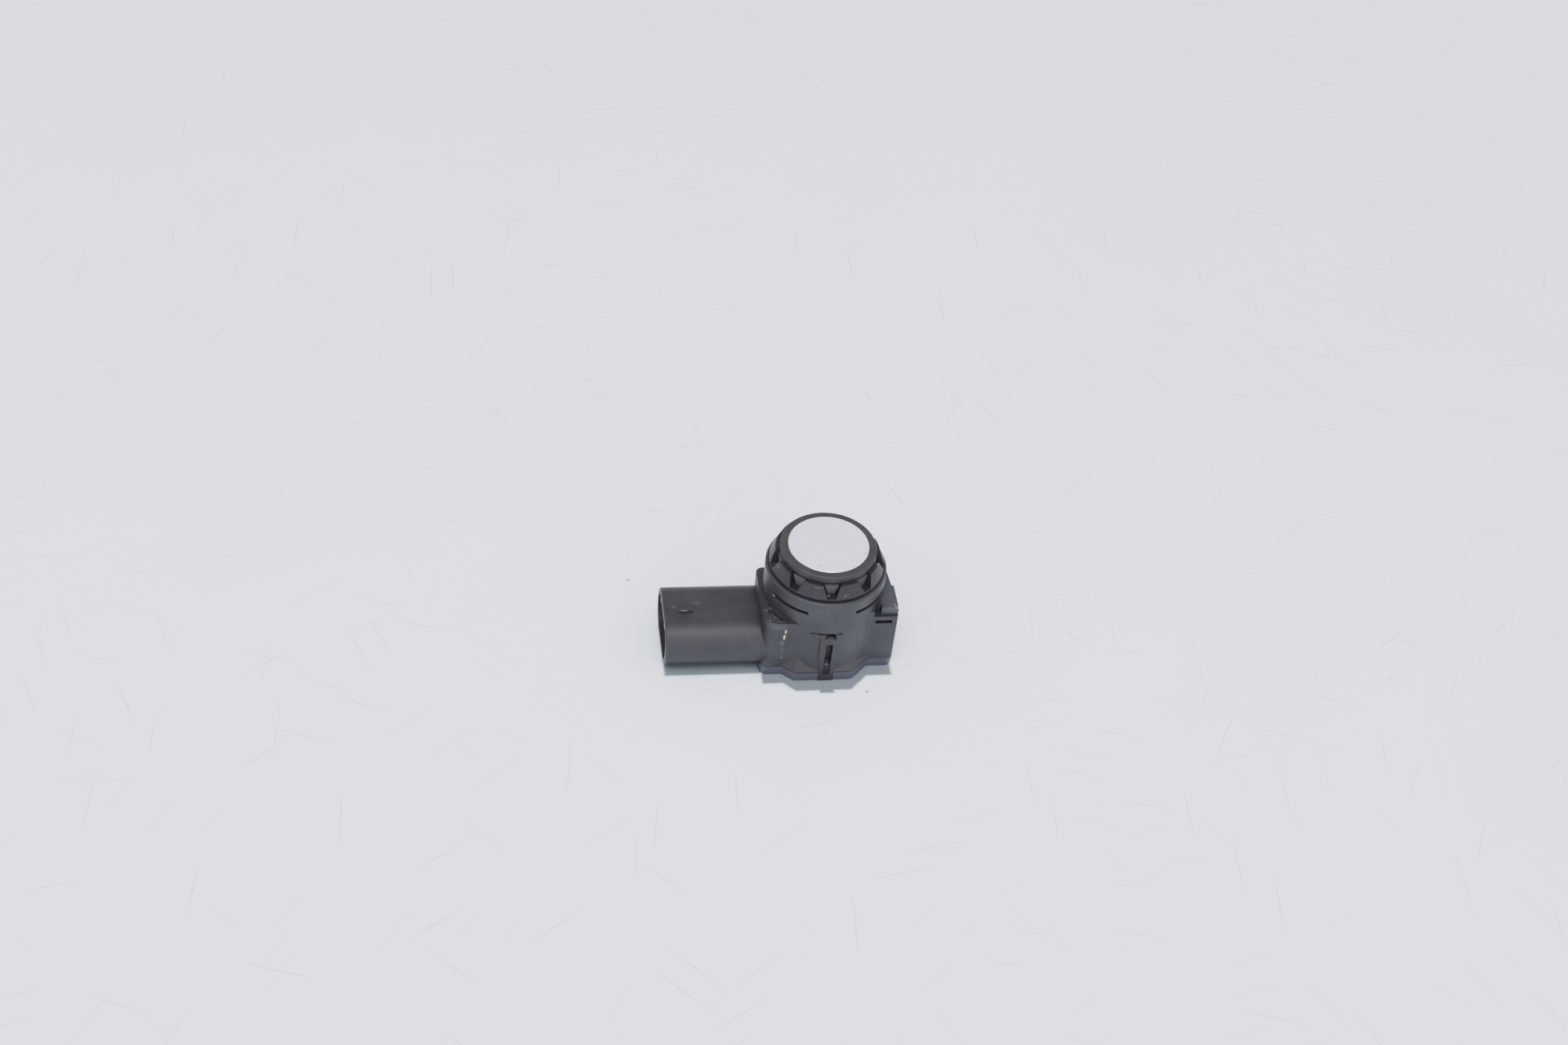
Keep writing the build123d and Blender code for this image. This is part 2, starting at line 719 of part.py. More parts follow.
# Decoupling ring, soft rubber: floor, sleeve, flange, neck with its head, a key for each notch
with BuildPart() as decoupling_ring:
    with BuildSketch(Plane.XZ):
        with BuildLine():
            Polyline(
                (ring_hole_radius, shelf_top_z),
                (mouth_bore_radius - ring_fit, shelf_top_z),
                (mouth_bore_radius - ring_fit, barrel_top_z),
                (flange_radius, barrel_top_z),
                (flange_radius, flange_top_z),
                (neck_radius, flange_top_z),
                (neck_radius, head_bottom_z),
                (rim_radius, head_bottom_z),
                (rim_radius, rim_z),
                (cup_radius, rim_z),
                (cup_radius, cup_bottom_z),
                (ring_hole_radius, cup_bottom_z),
                close=True,
            )
        make_face()
    revolve(axis=Axis.Z)
    rim_edges = decoupling_ring.edges().filter_by(GeomType.CIRCLE).group_by(Axis.Z)[-1]
    chamfer(rim_edges.sort_by(SortBy.RADIUS)[-1], rim_edge)
    for angle in petal_angles:
        with BuildSketch(radial_plane(angle, neck_radius - ring_fit)):
            with BuildLine():
                Polyline(
                    (key_clearance - petal_notch_bottom / 2, petal_notch_floor_z),
                    (petal_notch_bottom / 2 - key_clearance, petal_notch_floor_z),
                    (petal_notch_top / 2 - 2 * key_clearance, key_top_z),
                    (2 * key_clearance - petal_notch_top / 2, key_top_z),
                    close=True,
                )
            make_face()
        extrude(amount=key_radius - neck_radius + ring_fit)
decoupling_ring.part.label = "decoupling_ring"


# Castellated collar round the neck: a flared ring cut into petals
with BuildPart() as castellated_collar:
    with BuildSketch(Plane.XZ):
        with BuildLine():
            Polyline(
                (neck_radius + ring_fit, flange_top_z),
                (collar_radius, flange_top_z),
                (collar_radius, flange_top_z + collar_land_height),
                (collar_top_radius, collar_top_z),
                (neck_radius + ring_fit, collar_top_z),
                close=True,
            )
        make_face()
    revolve(axis=Axis.Z)
    for angle in petal_angles:
        with BuildSketch(radial_plane(angle, cup_radius)):
            with BuildLine():
                Polyline(
                    (-petal_notch_bottom / 2, petal_notch_floor_z),
                    (petal_notch_bottom / 2, petal_notch_floor_z),
                    (petal_notch_top / 2, collar_top_z),
                    (-petal_notch_top / 2, collar_top_z),
                    close=True,
                )
            make_face()
        extrude(amount=collar_radius - cup_radius, mode=Mode.SUBTRACT)
castellated_collar.part.label = "castellated_collar"


# One file for each piece
pieces = {
    "housing": housing.part,
    "rear_cover": rear_cover.part,
    "castellated_collar": castellated_collar.part,
    "decoupling_ring": decoupling_ring.part,
    "membrane_cup": membrane_cup.part,
    "piezo_disc": piezo_disc.part,
    "damping_pad": damping_pad.part,
    "cup_plug": cup_plug.part,
    "signal_lead": signal_lead,
    "ground_lead": ground_lead,
    "circuit_board": circuit_board.part,
    "driver_chip": driver_chip.part,
    "transformer_core": transformer_core.part,
    "transformer_winding": transformer_winding.part,
    "filter_capacitor": filter_capacitor.part,
    "ceramic_capacitors": ceramic_capacitors.part,
    "resistors": resistors.part,
    "resonator": resonator.part,
}
for number, pin in enumerate(terminals, start=1):
    pieces[f"terminal_pin_{number}"] = pin

os.makedirs("parts", exist_ok=True)
for name, piece in pieces.items():
    piece.label = name
    export_step(piece, f"parts/{name}.step")
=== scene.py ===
# %% [markdown]
# # Dressing a bumper's parking sensor
# The sensor comes in as a finished set of solids, each a node of its own: a
# moulded housing, its cover, a soft ring, a painted membrane and the parts inside.
# The shapes could be remade here, but they are already exact, so this lesson keeps
# them and gives each one the finish that its real material has.

# %% Load the solids
import bmesh
import bpy
from math import pi, radians
from mathutils import Matrix, Vector


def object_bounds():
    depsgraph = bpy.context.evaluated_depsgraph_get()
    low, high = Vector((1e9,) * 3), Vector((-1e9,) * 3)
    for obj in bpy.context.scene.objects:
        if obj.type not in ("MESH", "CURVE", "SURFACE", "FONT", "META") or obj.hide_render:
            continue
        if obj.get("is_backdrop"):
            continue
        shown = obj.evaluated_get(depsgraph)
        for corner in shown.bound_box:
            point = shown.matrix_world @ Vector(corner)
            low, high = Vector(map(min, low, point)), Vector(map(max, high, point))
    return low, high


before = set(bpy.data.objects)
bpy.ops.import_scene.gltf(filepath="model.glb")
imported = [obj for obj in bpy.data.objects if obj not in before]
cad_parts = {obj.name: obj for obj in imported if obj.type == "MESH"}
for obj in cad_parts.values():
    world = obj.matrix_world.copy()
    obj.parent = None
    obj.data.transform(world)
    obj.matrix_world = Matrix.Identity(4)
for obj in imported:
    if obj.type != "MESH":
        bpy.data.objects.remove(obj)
solid_bounds = [list(corner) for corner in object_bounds()]
size_mm = [round(1000 * (high - low), 2) for low, high in zip(*solid_bounds)]
print("nodes:", len(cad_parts), "size in mm:", size_mm)

# %% [markdown]
# ## The camera
# The sensor is seen from above its front side, a little from its left, with the
# camera tipped sideways by some seven degrees. An empty to track could aim it, but
# three turns and an offset say the same thing in numbers that can be checked: look
# down, walk round, tip sideways, then step back along the lens.

# %% Camera
look_down = radians(42.142)
walk_round = radians(11.789)
tip_sideways = radians(6.896)
offset_mm = Vector((6.174, 22.229, 456.540))
lens_mm = 54.0

turn = (
    Matrix.Rotation(-walk_round, 3, "Z")
    @ Matrix.Rotation(pi / 2 - look_down, 3, "X")
    @ Matrix.Rotation(tip_sideways, 3, "Z")
)
place = -(offset_mm.x * turn.col[0] - offset_mm.y * turn.col[1] - offset_mm.z * turn.col[2]) / 1000

camera_data = bpy.data.cameras.new("camera")
camera_data.lens = lens_mm
camera_data.sensor_width = 36.0
camera_data.sensor_fit = "HORIZONTAL"
camera_data.clip_start = 0.01
camera = bpy.data.objects.new("camera", camera_data)
camera.matrix_world = Matrix.Translation(place) @ turn.to_4x4()
bpy.context.collection.objects.link(camera)
bpy.context.scene.camera = camera
print("camera at, in mm:", [round(1000 * v, 1) for v in place])

# %% [markdown]
# ## Colours and nodes
# Colours are noted the way a paint card gives them, as hex values, and a shader
# wants them linear, so one function turns them. A second function adds a node with
# its settings and links in one line, which keeps each material short enough to
# read. Sockets that share a name go by number: a Mix node set to colours takes its
# amount at input 0 and its colours at 6 and 7, and gives the blend at output 2.

# %% Colours and nodes
def linear(hex_colour):
    """A paint card's #rrggbb as the linear colour that a shader wants."""
    channels = [int(hex_colour[i:i + 2], 16) / 255 for i in (1, 3, 5)]
    return [c / 12.92 if c <= 0.04045 else ((c + 0.055) / 1.055) ** 2.4 for c in channels] + [1.0]


def add_node(tree, kind, inputs=None, **settings):
    """Add a node, set what it is told and link or fill its inputs, by name or by number."""
    node = tree.nodes.new("ShaderNode" + kind)
    for name, value in settings.items():
        setattr(node, name, value)
    for name, value in (inputs or {}).items():
        if isinstance(value, bpy.types.NodeSocket):
            tree.links.new(value, node.inputs[name])
        else:
            node.inputs[name].default_value = value
    return node


print("mid grey on a paint card is", round(linear("#808080")[0], 3), "in linear light")

# %% [markdown]
# ## Starting and laying on a material
# A material starts with its shader and with coordinates in millimetres, so that
# every pattern's scale is one over a real size. It could be assigned to a node by
# hand, but every slot of a solid is to wear it, so a small function sees to that.

# %% Materials
def start_material(name, roughness, metallic=0.0, gloss=0.5):
    """A new material, its node tree, its shader and its object coordinates in millimetres."""
    material = bpy.data.materials.new(name)
    material.use_nodes = True
    tree = material.node_tree
    shader = tree.nodes["Principled BSDF"]
    shader.inputs["Roughness"].default_value = roughness
    shader.inputs["Metallic"].default_value = metallic
    shader.inputs["Specular IOR Level"].default_value = gloss
    where = add_node(tree, "TexCoord")
    mm = add_node(tree, "Mapping", {"Vector": where.outputs["Object"], "Scale": (1000, 1000, 1000)})
    return material, tree, shader, mm.outputs[0]


def dress(material, *node_names):
    """Give a material to every slot of these solids."""
    for node_name in node_names:
        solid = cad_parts[node_name]
        for number in range(len(solid.material_slots)):
            solid.material_slots[number].material = material
    print(material.name, "on", ", ".join(node_names))


print("slots to dress:", sum(len(solid.material_slots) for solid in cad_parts.values()))

# %% [markdown]
# ## Mottle and grain
# No moulded or sprayed surface has one colour. Noise can lead a colour from a dark
# tone to a light one in patches of a known size, and finer noise can lift the
# surface into grain. Displacement would carve that grain, but a bump gives the same
# look for nothing at this distance.

# %% Mottle and grain
def mottled(tree, mm, patch_mm, dark, light, detail):
    """A colour that wanders between two tones in patches of that size, and the noise behind it."""
    noise = add_node(tree, "TexNoise", {"Vector": mm, "Scale": 1 / patch_mm, "Detail": detail})
    mix = add_node(
        tree, "Mix", {0: noise.outputs["Fac"], 6: linear(dark), 7: linear(light)}, data_type="RGBA"
    )
    return mix.outputs[2], noise.outputs["Fac"]


def roughen(tree, shader, mm, grain_mm, strength, depth_mm=0.03, detail=2.0):
    """Lift a surface into grain of that width and depth."""
    grain = add_node(tree, "TexNoise", {"Vector": mm, "Scale": 1 / grain_mm, "Detail": detail})
    bump = add_node(
        tree,
        "Bump",
        {"Height": grain.outputs["Fac"], "Strength": strength, "Distance": depth_mm / 1000},
    )
    tree.links.new(bump.outputs[0], shader.inputs["Normal"])


# Eroded grain is about 0.05 mm; it is drawn at 0.16 mm so that it shows at this distance
eroded_mm = 0.16
print("grains across the sensor:", round(size_mm[0] / eroded_mm))

# %% [markdown]
# ## Marks on a surface
# A sensor that has been on a car carries flecks of paint, pale dust and small
# knocks. They could be modelled, but most are thinner than a hair, so they are
# painted. A mark is an ellipsoid in the part's own millimetres with a ragged edge:
# the coordinates are stirred by a little noise before the distance to its centre
# is taken.

# %% Marks
def ragged(tree, mm, grain_mm, reach_mm):
    """Coordinates in millimetres, stirred by noise of that grain and by that much."""
    noise = add_node(tree, "TexNoise", {"Vector": mm, "Scale": 1 / grain_mm, "Detail": 3.0})
    centred = add_node(
        tree, "VectorMath", {0: noise.outputs["Color"], 1: (0.5, 0.5, 0.5)}, operation="SUBTRACT"
    )
    stirred = add_node(
        tree,
        "VectorMath",
        {0: centred.outputs[0], 1: (2 * reach_mm,) * 3, 2: mm},
        operation="MULTIPLY_ADD",
    )
    return stirred.outputs[0]


def mark(tree, stirred, centre, radii, share):
    """The share inside an ellipsoid at centre, 0 outside it, and a soft edge between them."""
    soft = 0.25
    scale = [1 / r for r in radii]
    offset = [-c / r for c, r in zip(centre, radii)]
    local = add_node(tree, "Mapping", {"Vector": stirred, "Location": offset, "Scale": scale})
    distance = add_node(tree, "VectorMath", {0: local.outputs[0]}, operation="LENGTH")
    edge = {"From Min": 1 - soft, "From Max": 1 + soft, "To Min": share, "To Max": 0.0}
    return add_node(tree, "MapRange", {"Value": distance.outputs["Value"], **edge}).outputs[0]


def lay_marks(tree, stirred, colour, marks):
    """Lay marks over a colour. Each has a centre, radii, the share it covers and its own colour."""
    for centre, radii, share, paint in marks:
        amount = mark(tree, stirred, centre, radii, share)
        mix = add_node(tree, "Mix", {0: amount, 6: colour, 7: linear(paint)}, data_type="RGBA")
        colour = mix.outputs[2]
    print("marks laid:", len(marks))
    return colour

# %% [markdown]
# ## Dust
# Dust could be scattered as real grains, at the price of thousands of objects. Here
# it is a field of cells, and only a few of them hold a speck at their centre.

# %% Dust
def dust(tree, mm, spacing_mm, speck_mm, share):
    """Specks of that radius, at most one to a cell of that spacing, in a share of the cells."""
    cells = add_node(tree, "TexVoronoi", {"Vector": mm, "Scale": 1 / spacing_mm})
    speck_reach = speck_mm / spacing_mm
    edge = {"From Min": 0.6 * speck_reach, "From Max": speck_reach, "To Min": 1.0, "To Max": 0.0}
    near = add_node(tree, "MapRange", {"Value": cells.outputs["Distance"], **edge})
    chosen = add_node(tree, "SeparateColor", {0: cells.outputs["Color"]})
    few = add_node(tree, "Math", {0: chosen.outputs[0], 1: share}, operation="LESS_THAN")
    speck = add_node(tree, "Math", {0: near.outputs[0], 1: few.outputs[0]}, operation="MULTIPLY")
    return speck.outputs[0]


dust_colour = linear("#6e7075")
print("dust is", [round(c, 3) for c in dust_colour[:3]], "in linear light")

# %% [markdown]
# ## Housing: glass-filled polyester
# The housing is injection moulded from a dark polyester with glass in it. The
# glass floats up in faint clouds and the tool's eroded wall leaves a fine matt
# grain, so the surface is neither flat black nor shiny: it is a very dark grey that
# catches wide soft highlights. A picture could carry this, but noise in millimetres
# holds up from every side.

# %% Housing colour
polyester, tree, shader, mm = start_material("moulded_polyester", roughness=0.5, gloss=0.27)

cloud_mm = 4.0
cloud = add_node(tree, "TexNoise", {"Vector": mm, "Scale": 1 / cloud_mm, "Detail": 5.0, "Roughness": 0.6})
cloud_span = {"Value": cloud.outputs["Fac"], "From Min": 0.3, "From Max": 0.7}
cloudy = add_node(tree, "MapRange", cloud_span)
body = add_node(
    tree, "Mix", {0: cloudy.outputs[0], 6: linear("#1d1c1e"), 7: linear("#242325")}, data_type="RGBA"
)

# Grease and grey film lie in larger soft patches
film_mm = 9.0
film = add_node(tree, "TexNoise", {"Vector": mm, "Scale": 1 / film_mm, "Detail": 2.0})
filmed = add_node(
    tree, "MapRange", {"Value": film.outputs["Fac"], "From Min": 0.5, "From Max": 0.75, "To Max": 0.5}
)
body = add_node(
    tree, "Mix", {0: filmed.outputs[0], 6: body.outputs[2], 7: linear("#2d2d31")}, data_type="RGBA"
)

# The clouds are a little rougher or smoother than what lies between them
patchy = add_node(tree, "MapRange", {**cloud_span, "To Min": 0.46, "To Max": 0.54})
tree.links.new(patchy.outputs[0], shader.inputs["Roughness"])
roughen(tree, shader, mm, eroded_mm, strength=0.22)
print("clouds of", cloud_mm, "mm under film of", film_mm, "mm")

# %% [markdown]
# ## Wear, painted shade and painted light on the housing
# Each fleck, rub and patch of grime has its own place, centre and radii in
# millimetres, so that wear sits where hands, paint and the bumper touched. The same
# list also holds painted shade in the eye and beside the tongue, painted highlights
# on edges and corners, and painted light on faces that lie dim. A random scatter
# alone would look even, which real wear never is, so it only adds the specks of
# dust at the end.

# %% Housing wear, painted shade and painted light
housing_wear_shade_and_light = [
    # two bits of old paint on the front wall, and the rub that runs down from them
    ((-8.16, -9.65, 11.4), (0.15, 0.6, 0.5), 0.9, "#a09b80"),
    ((-8.3, -9.65, 10.0), (0.2, 0.6, 0.65), 0.9, "#979279"),
    ((-8.6, -9.65, 8.4), (0.42, 0.6, 0.55), 0.4, "#46474c"),
    ((-8.42, -9.65, 6.6), (0.1, 0.6, 1.3), 0.4, "#46474c"),
    ((-8.37, -9.65, 4.6), (0.1, 0.4, 0.1), 0.8, "#7d7f84"),
    # knock at the left arc slot's end
    ((-10.29, -5.13, 16.64), (0.14, 0.3, 0.16), 0.8, "#84868b"),
    # painted highlight along the latch nub's edge, and dull rings at its ends
    ((-26.7, -2.25, 10.3), (1.0, 0.14, 0.14), 0.6, "#5f6268"),
    ((-28.4, -0.75, 9.9), (0.5, 0.35, 0.2), 0.5, "#38393e"),
    ((-23.9, 0.16, 9.9), (0.9, 0.5, 0.2), 0.4, "#35363b"),
    # painted highlights on the corners of the pocket
    ((-11.17, -8.6, 13.5), (0.2, 0.2, 0.2), 0.6, "#54565c"),
    ((-11.3, -5.9, 13.5), (0.8, 0.2, 0.3), 0.5, "#505258"),
    # painted light, lifting the dim floor of the pocket and the ear's top behind its latch
    ((-9.4, -6.0, 12.6), (2.6, 3.9, 1.2), 0.75, "#38383c"),
    ((12.2, -3.6, 14.9), (2.3, 6.0, 1.2), 0.7, "#38383d"),
    # painted shade in the corner beside the tongue, and painted highlights on its head's slopes
    ((-1.85, -11.5, 8.7), (0.13, 0.4, 3.0), 0.8, "#0b0b0c"),
    ((-2.25, -11.6, 11.5), (0.16, 0.3, 0.6), 0.5, "#3d3d42"),
    ((2.25, -11.6, 11.5), (0.16, 0.3, 0.6), 0.5, "#3d3d42"),
    # white speck on the tube's shoulder, by the block
    ((-12.84, -7.09, 8.5), (0.12, 0.3, 0.16), 0.8, "#84868b"),
    # painted shade in the eye's recess, and the bright lip of its sill
    ((0.15, -10.95, 11.1), (1.5, 0.8, 0.85), 0.95, "#050506"),
    ((0.4, -11.35, 10.7), (0.13, 0.2, 0.1), 0.5, "#54565c"),
]
wear_and_painted_light = lay_marks(tree, ragged(tree, mm, 0.45, 0.17), body.outputs[2], housing_wear_shade_and_light)

# Pale specks, sparse and of two sizes
small_specks = dust(tree, mm, 2.6, 0.13, 0.22)
large_specks = dust(tree, mm, 6.0, 0.22, 0.2)
specks = add_node(tree, "Math", {0: small_specks, 1: large_specks}, operation="MAXIMUM")
speck_thin = add_node(tree, "Math", {0: specks.outputs[0], 1: 0.7}, operation="MULTIPLY")
dusty = add_node(tree, "Mix", {0: speck_thin.outputs[0], 6: wear_and_painted_light, 7: dust_colour}, data_type="RGBA")
tree.links.new(dusty.outputs[2], shader.inputs["Base Color"])
dress(polyester, "housing")

# %% [markdown]
# ## Rear cover
# The cover comes from another tool and another batch of the same plastic, with a
# faint violet cast and a smoother, slightly shinier face. It could share the
# housing's material, but its own keeps the joint line readable, as on the real part.

# %% Cover finish
cover_plastic, tree, shader, mm = start_material("cover_polyester", roughness=0.48, gloss=0.27)
cover_colour, _ = mottled(tree, mm, cloud_mm, "#302f38", "#3a3944", detail=4.0)
cover_specks = dust(tree, mm, 3.0, 0.12, 0.2)
cover_dusty = add_node(
    tree, "Mix", {0: cover_specks, 6: cover_colour, 7: linear("#6b6c75")}, data_type="RGBA"
)

# Painted shade: the catch, deep in the window, is painted near black, with a painted highlight on its top
# edge
catch_shade_and_highlight = [
    ((0.15, -11.4, 2.9), (0.9, 0.5, 1.7), 0.9, "#070708"),
    ((0.02, -11.4, 4.25), (0.2, 0.2, 0.1), 0.7, "#77797d"),
]
cover_dust_and_shade = lay_marks(tree, ragged(tree, mm, 0.5, 0.08), cover_dusty.outputs[2], catch_shade_and_highlight)
tree.links.new(cover_dust_and_shade, shader.inputs["Base Color"])
roughen(tree, shader, mm, eroded_mm, strength=0.15)
dress(cover_plastic, "rear_cover")

# %% [markdown]
# ## Castellated collar
# The collar is moulded in a deeper black nylon and has been pushed through a
# bumper, so it is scuffed pale. The scuffs lie round it, so the noise that draws
# them is squeezed along the axis. Masks drawn from the edges' curvature would be
# another way, but they need a denser mesh.

# %% Collar finish
collar_plastic, tree, shader, mm = start_material("collar_nylon", roughness=0.5, gloss=0.27)
collar_mottle_mm = 2.5
collar_colour, _ = mottled(tree, mm, collar_mottle_mm, "#131214", "#19181a", detail=5.0)
round_about = add_node(tree, "Mapping", {"Vector": mm, "Scale": (1.0, 1.0, 3.5)})
scuff_mm = 1.2
scuff = add_node(tree, "TexNoise", {"Vector": round_about.outputs[0], "Scale": 1 / scuff_mm, "Detail": 4.0})
scuffed = add_node(
    tree, "MapRange", {"Value": scuff.outputs["Fac"], "From Min": 0.58, "From Max": 0.74, "To Max": 0.45}
)
collar_scuffed = add_node(
    tree, "Mix", {0: scuffed.outputs[0], 6: collar_colour, 7: linear("#36353a")}, data_type="RGBA"
)
collar_specks = dust(tree, mm, 1.9, 0.16, 0.25)
collar_dusty = add_node(
    tree, "Mix", {0: collar_specks, 6: collar_scuffed.outputs[2], 7: linear("#5c5a5d")}, data_type="RGBA"
)

# Pale spots on the petals, at their corners and by their notches
collar_marks = [
    ((9.0, -4.2, 23.2), (0.3, 0.3, 0.3), 0.8, "#58595e"),
    ((6.34, -8.49, 21.5), (0.1, 0.3, 0.3), 0.8, "#6c6d72"),
    ((-1.0, -9.8, 20.8), (0.3, 0.3, 0.15), 0.6, "#505155"),
    ((-3.1, -9.5, 22.7), (0.9, 0.4, 0.07), 0.6, "#47474c"),
    ((-9.9, -3.2, 22.4), (0.5, 0.9, 0.4), 0.4, "#3c3c41"),
]
collar_worn = lay_marks(tree, ragged(tree, mm, 0.5, 0.12), collar_dusty.outputs[2], collar_marks)
tree.links.new(collar_worn, shader.inputs["Base Color"])
roughen(tree, shader, mm, eroded_mm, strength=0.2)
dress(collar_plastic, "castellated_collar")

# %% [markdown]
# ## Decoupling ring: silicone rubber
# The ring keeps the membrane's ringing out of the housing. Silicone has a soft,
# dusty look: high roughness, and a grey bloom where it has been handled. A sheen
# layer would give the softness too, but the dust is what shows, so the bloom is
# noise at a few millimetres and the fine tooth that holds the dust is bump.

# %% Ring finish
silicone, tree, shader, mm = start_material("silicone_rubber", roughness=0.62, gloss=0.27)
bloom_mm = 3.0
bloom = add_node(tree, "TexNoise", {"Vector": mm, "Scale": 1 / bloom_mm, "Detail": 5.0})
bloomed = add_node(tree, "MapRange", {"Value": bloom.outputs["Fac"], "From Min": 0.35, "From Max": 0.7})
ring_colour = add_node(
    tree, "Mix", {0: bloomed.outputs[0], 6: linear("#202021"), 7: linear("#292829")}, data_type="RGBA"
)
small_specks = dust(tree, mm, 1.7, 0.1, 0.25)
large_specks = dust(tree, mm, 4.0, 0.17, 0.2)
specks = add_node(tree, "Math", {0: small_specks, 1: large_specks}, operation="MAXIMUM")
ring_dusty = add_node(
    tree, "Mix", {0: specks.outputs[0], 6: ring_colour.outputs[2], 7: linear("#545356")}, data_type="RGBA"
)

# Painted light: the keys, low between the petals, are painted lighter, standing in for light reaching into
# their shade
lit_full_z = 22.6
lit_ends_z = 23.2
height = add_node(tree, "SeparateXYZ", {0: mm})
lit_span = {"From Min": lit_full_z, "From Max": lit_ends_z, "To Min": 1.0, "To Max": 0.0}
low = add_node(tree, "MapRange", {"Value": height.outputs["Z"], **lit_span})
ring_keys_lit = add_node(
    tree, "Mix", {0: low.outputs[0], 6: ring_dusty.outputs[2], 7: linear("#3b393c")}, data_type="RGBA"
)
tree.links.new(ring_keys_lit.outputs[2], shader.inputs["Base Color"])
roughen(tree, shader, mm, grain_mm=0.22, strength=0.3, depth_mm=0.04, detail=3.0)
dress(silicone, "decoupling_ring")

# %% [markdown]
# ## Membrane: painted aluminium
# The pot is drawn from aluminium and its face is sprayed like the bumper. The paint
# is a very pale cool grey with a satin gloss, a trace of orange peel, and a few
# dark specks of grit under it. The pot's wall and bore could be left bare metal,
# but the ring and the filling hide them, so the whole pot wears the paint.

# %% Membrane paint
membrane_paint, tree, shader, mm = start_material("membrane_paint", roughness=0.34)
shader.inputs["Coat Weight"].default_value = 0.15
shader.inputs["Coat Roughness"].default_value = 0.2
paint_colour, _ = mottled(tree, mm, 5.0, "#bfc3cd", "#c8ccd6", detail=3.0)

# Grit under the paint, and the four pits that show best
grit = dust(tree, mm, 1.3, 0.07, 0.12)
gritty = add_node(tree, "Mix", {0: grit, 6: paint_colour, 7: linear("#a3a6ad")}, data_type="RGBA")
pits = [
    ((-1.49, -2.93, 24.7), (0.15, 0.17, 0.2), 0.8, "#7d7f85"),
    ((-2.48, -5.81, 24.7), (0.16, 0.18, 0.2), 1.0, "#2f3034"),
    ((2.4, -4.95, 24.7), (0.14, 0.16, 0.2), 0.8, "#7d7f85"),
    ((6.69, -2.74, 24.7), (0.15, 0.2, 0.2), 1.0, "#2f3034"),
]
paint_colour = lay_marks(tree, ragged(tree, mm, 0.5, 0.05), gritty.outputs[2], pits)
roughen(tree, shader, mm, grain_mm=0.8, strength=0.1, depth_mm=0.04, detail=1.0)

# %% [markdown]
# ## The membrane's edge
# A thin line runs along the membrane's rounded edge. It could be one even ring, but
# here it is a painted highlight, white towards the front, and a warm yellow line
# towards the left, so each tone is the edge's ring times the reach towards one side.

# %% Membrane edge
edge_span = {"From Min": 7.38, "From Max": 7.46}
side_span = {"From Min": 6.9, "From Max": 7.4}
edge_highlight_and_tint = [((-0.2, -0.98, 0.0), "#ffffff"), ((-0.98, 0.2, 0.0), "#b3a483")]

seen_flat = add_node(tree, "Mapping", {"Vector": mm, "Scale": (1.0, 1.0, 0.0)}).outputs[0]
radius = add_node(tree, "VectorMath", {0: seen_flat}, operation="LENGTH")
edge = add_node(tree, "MapRange", {"Value": radius.outputs["Value"], **edge_span})
for towards, tone in edge_highlight_and_tint:
    reach = add_node(tree, "VectorMath", {0: seen_flat, 1: towards}, operation="DOT_PRODUCT")
    side = add_node(tree, "MapRange", {"Value": reach.outputs["Value"], **side_span})
    edge_band = add_node(tree, "Math", {0: edge.outputs[0], 1: side.outputs[0]}, operation="MULTIPLY")
    mix = add_node(tree, "Mix", {0: edge_band.outputs[0], 6: paint_colour, 7: linear(tone)}, data_type="RGBA")
    paint_colour = mix.outputs[2]
tree.links.new(paint_colour, shader.inputs["Base Color"])
dress(membrane_paint, "membrane_cup")

# %% [markdown]
# ## Terminals: tinned bronze
# The three pins are stamped from bronze and tinned. Tin is a soft, slightly yellow
# white metal that is bright but never mirror-like, and drawing the strip leaves
# fine lines along each pin. The shader's anisotropy could blur the highlight that
# way, but on so thin a pin noise stretched along its length says it more plainly.

# %% Terminal finish
tin, tree, shader, mm = start_material("tinned_bronze", roughness=0.3, metallic=1.0)
drawn = add_node(tree, "Mapping", {"Vector": mm, "Scale": (0.15, 1.0, 1.0)})
line_mm = 0.12
tin_colour, line_noise = mottled(tree, drawn.outputs[0], line_mm, "#cdc9c0", "#e0ddd6", detail=2.0)
tree.links.new(tin_colour, shader.inputs["Base Color"])
lines_rough = add_node(tree, "MapRange", {"Value": line_noise, "To Min": 0.22, "To Max": 0.4})
tree.links.new(lines_rough.outputs[0], shader.inputs["Roughness"])
dress(tin, "terminal_pin_1", "terminal_pin_2", "terminal_pin_3")

# %% [markdown]
# ## Inside the housing
# The rest is sealed in, and is seen only when the sensor is taken apart. Each part
# still gets what it is made of. A table holds the two colours that its surface
# wanders between, its roughness, whether it is metal and how coarse its pattern
# is, and one loop makes the materials from it.

